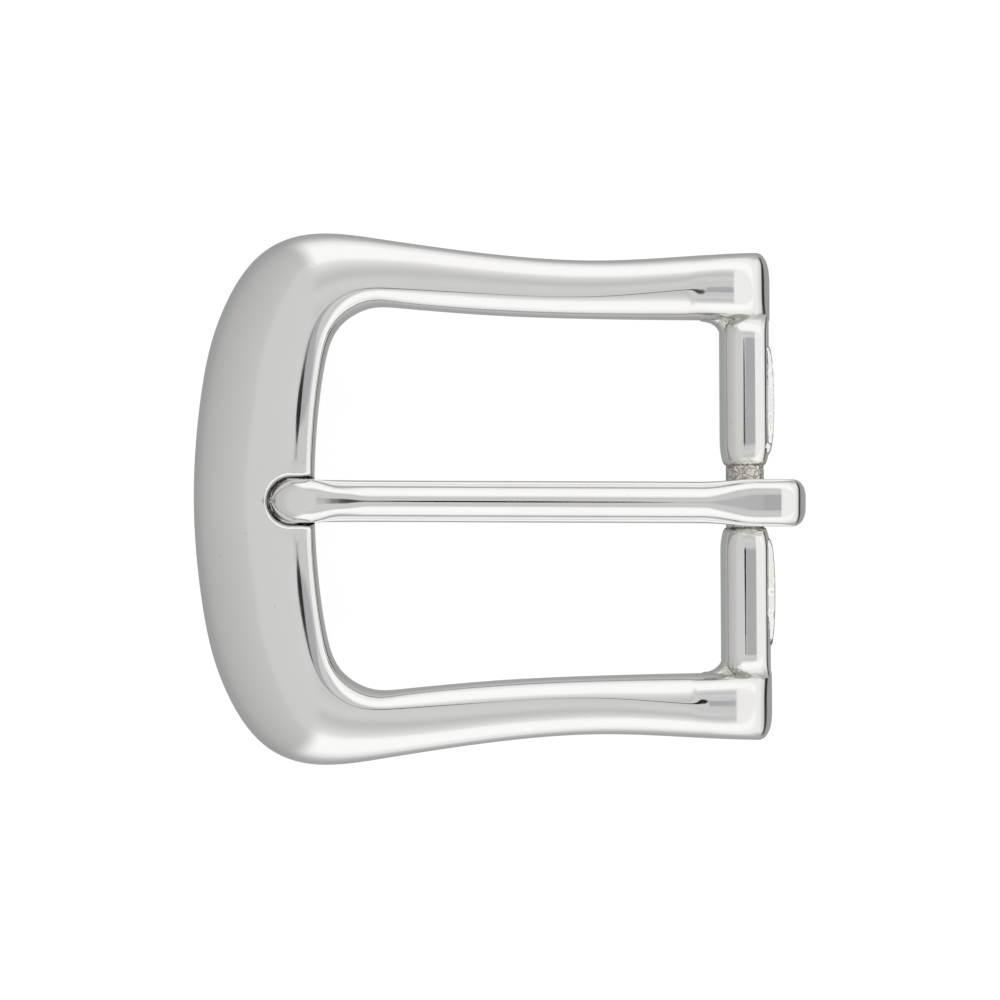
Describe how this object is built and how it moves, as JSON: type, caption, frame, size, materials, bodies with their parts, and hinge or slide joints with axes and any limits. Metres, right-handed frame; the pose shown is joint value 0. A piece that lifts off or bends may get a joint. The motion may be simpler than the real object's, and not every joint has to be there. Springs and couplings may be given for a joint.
{
  "type": "belt buckle",
  "caption": "Single-prong strap buckle: cast metal frame with a wide domed front bow and waisted arms, and a swinging prong on its strap bar.",
  "frame": {"origin": "middle of the strap bar's axis, at the neck the prong turns on", "axes": "+X from the bow past the strap bar to the strap's fixed end, +Y across the strap along the bar, +Z out of the front face"},
  "size_m": [0.0614, 0.0532, 0.0091],
  "materials": {
    "plated_frame": "bright nickel plate over a polished casting",
    "plated_prong": "bright nickel plate over a polished casting"
  },
  "bodies": {
    "frame": {"frame": "plated_frame"},
    "prong": {"prong": "plated_prong"}
  },
  "joints": [
    {"name": "prong_swing", "type": "hinge", "parent": "frame", "child": "prong", "pos_m": [0, 0, 0], "axis": [0, 1, 0], "range_deg": [0, 345]}
  ]
}
